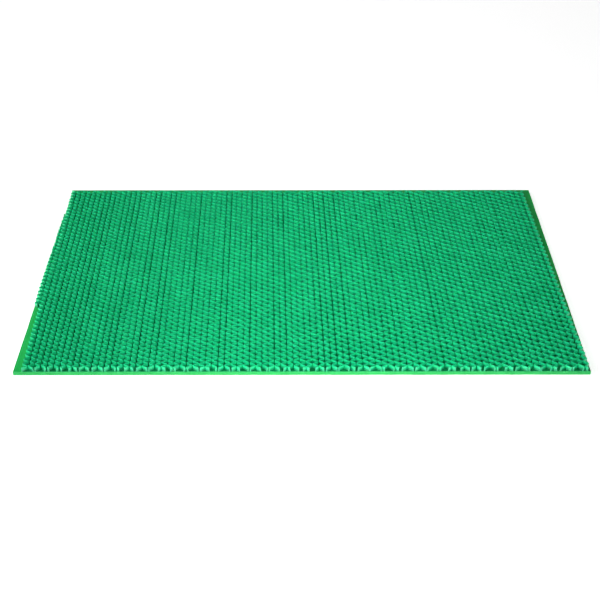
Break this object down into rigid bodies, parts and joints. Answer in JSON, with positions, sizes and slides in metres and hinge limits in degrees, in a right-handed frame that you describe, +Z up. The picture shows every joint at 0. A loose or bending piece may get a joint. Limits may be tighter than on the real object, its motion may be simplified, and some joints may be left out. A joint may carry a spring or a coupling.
{
  "type": "step tread mat",
  "caption": "Flat slip-resistant mat for a mounting block step: an open web of upright zigzag vinyl strands welded to a solid vinyl backing sheet.",
  "frame": {"origin": "centre of the underside, where the mat lies on its step", "axes": "+X along the front edge, +Y from the front edge to the back edge, +Z up out of the tread"},
  "size_m": [0.6, 0.4, 0.01],
  "materials": {
    "backing_vinyl": "smooth satin vinyl",
    "bonding_vinyl": "thin fused vinyl coat",
    "strand_vinyl": "extruded vinyl, satin with glossy bends"
  },
  "bodies": {
    "root": {"backing_sheet": "backing_vinyl", "bonding_coat": "bonding_vinyl", "trimmed_strand": "strand_vinyl", "strand_band_01": "strand_vinyl", "strand_band_02": "strand_vinyl", "strand_band_03": "strand_vinyl", "strand_band_04": "strand_vinyl", "strand_band_05": "strand_vinyl", "strand_band_06": "strand_vinyl", "strand_band_07": "strand_vinyl", "strand_band_08": "strand_vinyl", "strand_band_09": "strand_vinyl", "strand_band_10": "strand_vinyl", "strand_band_11": "strand_vinyl", "strand_band_12": "strand_vinyl", "strand_band_13": "strand_vinyl", "strand_band_14": "strand_vinyl", "strand_band_15": "strand_vinyl", "strand_band_16": "strand_vinyl", "strand_band_17": "strand_vinyl", "strand_band_18": "strand_vinyl", "strand_band_19": "strand_vinyl", "strand_band_20": "strand_vinyl", "strand_band_21": "strand_vinyl", "strand_band_22": "strand_vinyl", "strand_band_23": "strand_vinyl", "strand_band_24": "strand_vinyl", "strand_band_25": "strand_vinyl", "strand_band_26": "strand_vinyl", "strand_band_27": "strand_vinyl", "strand_band_28": "strand_vinyl", "strand_band_29": "strand_vinyl", "strand_band_30": "strand_vinyl"}
  },
  "joints": []
}
